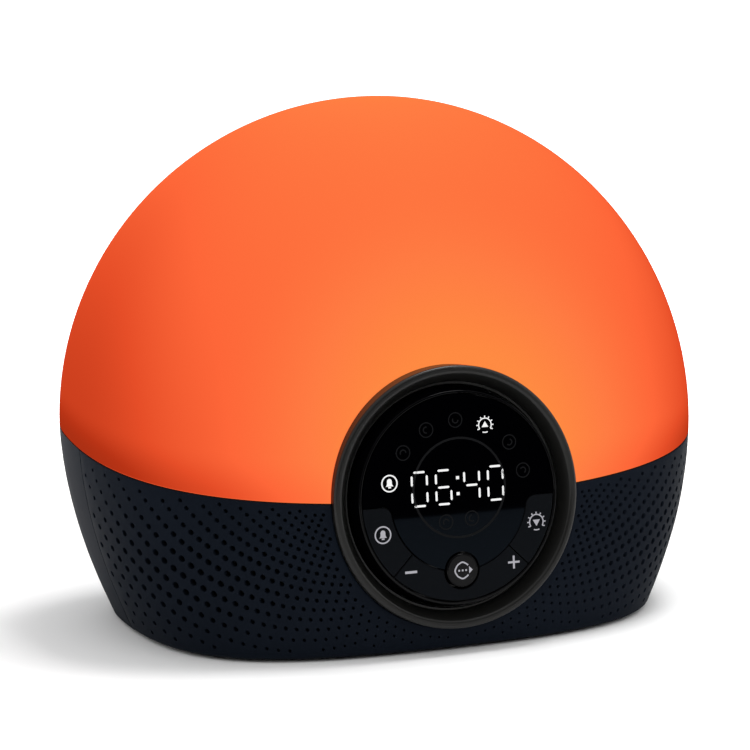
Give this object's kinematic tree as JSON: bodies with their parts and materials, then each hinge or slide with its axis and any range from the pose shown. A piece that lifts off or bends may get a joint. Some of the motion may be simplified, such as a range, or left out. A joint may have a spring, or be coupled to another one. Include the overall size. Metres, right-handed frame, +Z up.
{
  "type": "sunrise alarm clock",
  "caption": "Domed wake-up light on a dark perforated speaker base, with a round glossy clock display, segment keys, a rocker key and a round menu key.",
  "frame": {"origin": "middle of the footprint, on the surface that the rubber feet stand on", "axes": "+Z up, the display faces -Y and looks slightly up, X runs along the width"},
  "size_m": [0.21, 0.123, 0.1669],
  "materials": {
    "dome": "satin translucent, glowing warm orange",
    "housing": "fine matte moulded texture, slate navy",
    "ring": "satin warm dark grey",
    "gloss_black": "piano black",
    "lens": "polished tinted window",
    "key": "polished black with pale glyphs",
    "rubber": "matte",
    "board": "green solder mask",
    "lamp_board": "white solder mask",
    "digits": "white diffuser",
    "component": "moulded black",
    "steel": "zinc plated",
    "inner_plastic": "matte black",
    "white_plastic": "matte white",
    "aluminium": "stamped",
    "led": "phosphor",
    "cloth": "open acoustic weave",
    "ribbon": "flat white cable",
    "lead": "black insulation",
    "cone": "treated paper",
    "magnet": "ferrite",
    "screw": "zinc plated"
  },
  "bodies": {
    "clock": {"board_components": "component", "board_screws": "screw", "cell_holder": "component", "coin_cell": "steel", "cover_screws": "screw", "dc_socket": "component", "digit_display": "digits", "display_board": "board", "display_body": "gloss_black", "display_cover": "inner_plastic", "display_lens": "lens", "display_ribbon": "ribbon", "display_ring": "ring", "dome_leds": "led", "front_housing": "housing", "grille_cloth": "cloth", "heat_sink": "aluminium", "housing_screws": "screw", "icon_leds": "digits", "key_switches": "component", "lamp_lead": "lead", "led_board": "lamp_board", "led_screws": "screw", "left_speaker_cone": "cone", "left_speaker_frame": "steel", "left_speaker_magnet": "magnet", "light_dome": "dome", "light_tray": "white_plastic", "main_board": "board", "rear_housing": "housing", "right_speaker_cone": "cone", "right_speaker_frame": "steel", "right_speaker_magnet": "magnet", "ring_screws": "screw", "rubber_feet": "rubber", "speaker_leads": "lead", "tray_screws": "screw"},
    "alarm_button": {"alarm_button": "key"},
    "sunset_button": {"sunset_button": "key"},
    "rocker_key": {"rocker_key": "key"},
    "menu_button": {"menu_button": "key"}
  },
  "joints": [
    {"name": "alarm_button_press", "type": "slide", "parent": "clock", "child": "alarm_button", "axis": [0, 0.9938, -0.1115], "range_m": [0, 0.0005], "stiffness_N_per_m": 400},
    {"name": "sunset_button_press", "type": "slide", "parent": "clock", "child": "sunset_button", "axis": [0, 0.9938, -0.1115], "range_m": [0, 0.0005], "stiffness_N_per_m": 400},
    {"name": "menu_button_press", "type": "slide", "parent": "clock", "child": "menu_button", "axis": [0, 0.9938, -0.1115], "range_m": [0, 0.0005], "stiffness_N_per_m": 400},
    {"name": "rocker_key_tilt", "type": "hinge", "parent": "clock", "child": "rocker_key", "pos_m": [0, -0.05577, 0.019], "axis": [0, 0.1115, 0.9938], "range_deg": [-1.5, 1.5], "stiffness_Nm_per_rad": 0.2}
  ]
}
